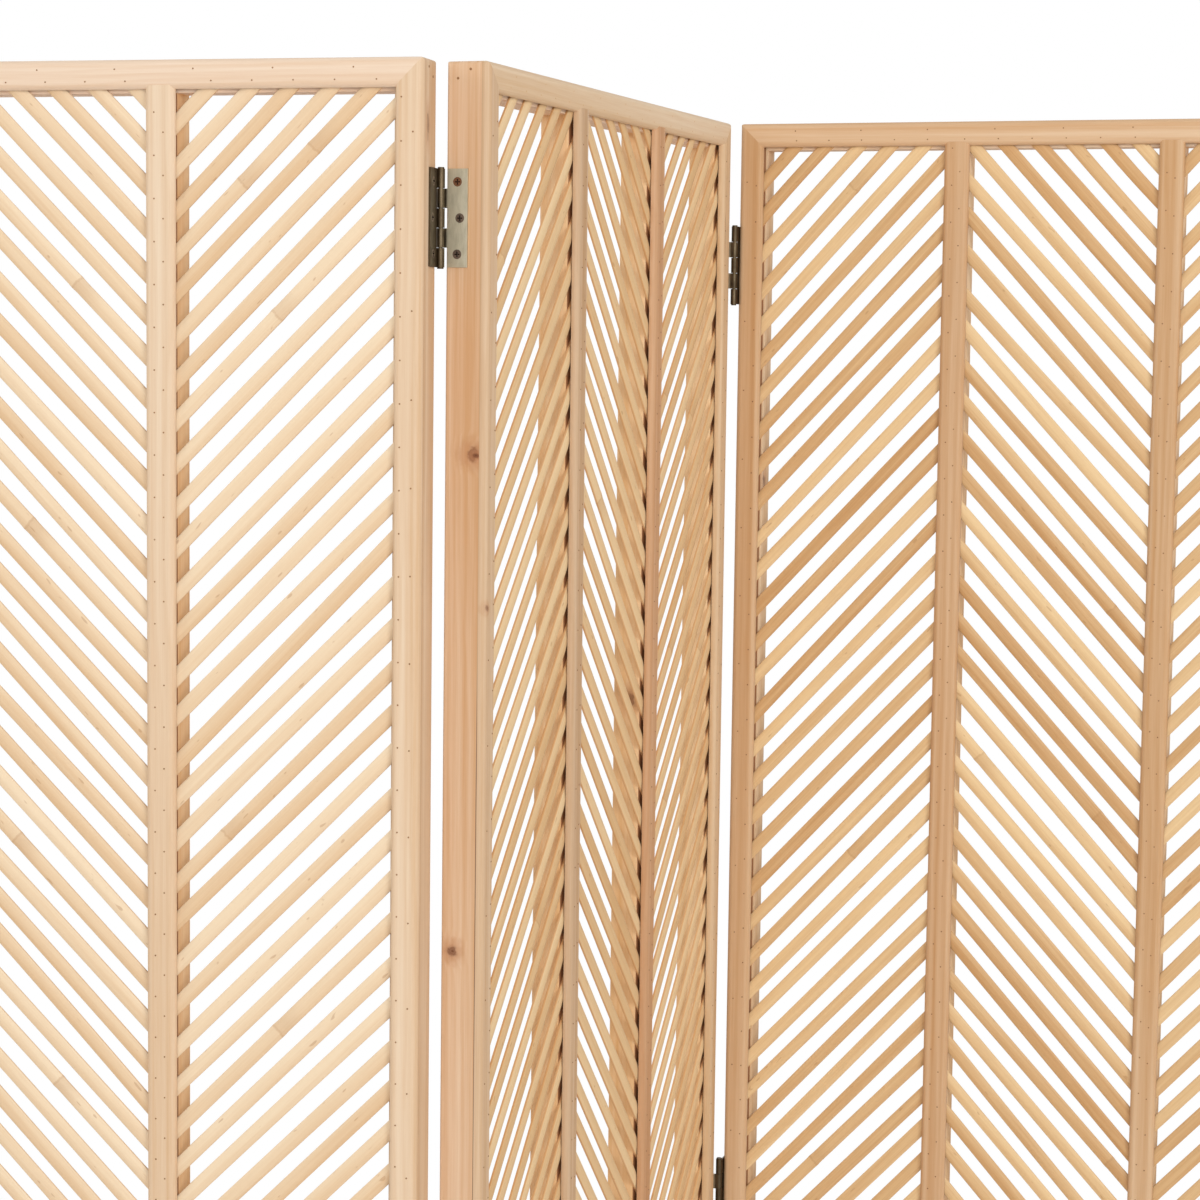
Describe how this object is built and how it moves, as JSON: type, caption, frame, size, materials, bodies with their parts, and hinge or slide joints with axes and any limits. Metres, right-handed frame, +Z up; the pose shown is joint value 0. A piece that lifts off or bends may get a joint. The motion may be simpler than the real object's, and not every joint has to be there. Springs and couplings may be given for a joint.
{
  "type": "folding screen",
  "caption": "Free-standing room divider of hinged wooden panels filled with diagonal bamboo slats in a chevron; the outer panels fold flat on butt hinges.",
  "frame": {"origin": "on the floor, under the middle of the standing screen", "axes": "+Z up, +X to the right as seen from the front, +Y to the back; at rest the panels stand in the zigzag of the picture"},
  "size_m": [1.183, 0.5206, 1.7],
  "materials": {
    "frame_wood": "planed softwood, unvarnished",
    "cover_wood": "rounded softwood strip, sanded",
    "slat_bamboo": "split bamboo, smooth and slightly waxy",
    "hinge_brass": "antique brass, darkened",
    "nail_steel": "dull steel, darkened by the wood"
  },
  "bodies": {
    "middle_panel": {"left_hinge_middle_leaves": "hinge_brass", "middle_batten_left": "frame_wood", "middle_batten_right": "frame_wood", "middle_bottom_rail": "frame_wood", "middle_bottom_rail_cover": "cover_wood", "middle_brads": "nail_steel", "middle_corner_nails": "nail_steel", "middle_hinge_screws": "hinge_brass", "middle_mullion_cover_left": "cover_wood", "middle_mullion_cover_right": "cover_wood", "middle_slats_left": "slat_bamboo", "middle_slats_middle": "slat_bamboo", "middle_slats_right": "slat_bamboo", "middle_stile_cover_left": "cover_wood", "middle_stile_cover_right": "cover_wood", "middle_stile_left": "frame_wood", "middle_stile_right": "frame_wood", "middle_top_rail": "frame_wood", "middle_top_rail_cover": "cover_wood", "right_hinge_middle_leaves": "hinge_brass"},
    "left_panel": {"left_batten_left": "frame_wood", "left_batten_right": "frame_wood", "left_bottom_rail": "frame_wood", "left_bottom_rail_cover": "cover_wood", "left_brads": "nail_steel", "left_corner_nails": "nail_steel", "left_hinge_outer_leaves": "hinge_brass", "left_hinge_pins": "hinge_brass", "left_hinge_screws": "hinge_brass", "left_mullion_cover_left": "cover_wood", "left_mullion_cover_right": "cover_wood", "left_slats_left": "slat_bamboo", "left_slats_middle": "slat_bamboo", "left_slats_right": "slat_bamboo", "left_stile_cover_left": "cover_wood", "left_stile_cover_right": "cover_wood", "left_stile_left": "frame_wood", "left_stile_right": "frame_wood", "left_top_rail": "frame_wood", "left_top_rail_cover": "cover_wood"},
    "right_panel": {"right_batten_left": "frame_wood", "right_batten_right": "frame_wood", "right_bottom_rail": "frame_wood", "right_bottom_rail_cover": "cover_wood", "right_brads": "nail_steel", "right_corner_nails": "nail_steel", "right_hinge_outer_leaves": "hinge_brass", "right_hinge_pins": "hinge_brass", "right_hinge_screws": "hinge_brass", "right_mullion_cover_left": "cover_wood", "right_mullion_cover_right": "cover_wood", "right_slats_left": "slat_bamboo", "right_slats_middle": "slat_bamboo", "right_slats_right": "slat_bamboo", "right_stile_cover_left": "cover_wood", "right_stile_cover_right": "cover_wood", "right_stile_left": "frame_wood", "right_stile_right": "frame_wood", "right_top_rail": "frame_wood", "right_top_rail_cover": "cover_wood"}
  },
  "joints": [
    {"name": "left_fold", "type": "hinge", "parent": "middle_panel", "child": "left_panel", "pos_m": [-0.09652, -0.23185, 0.85], "axis": [0, 0, 1], "range_deg": [-96.2, 83.8]},
    {"name": "right_fold", "type": "hinge", "parent": "middle_panel", "child": "right_panel", "pos_m": [0.10515, 0.23233, 0.85], "axis": [0, 0, 1], "range_deg": [-91.4, 88.6]}
  ]
}
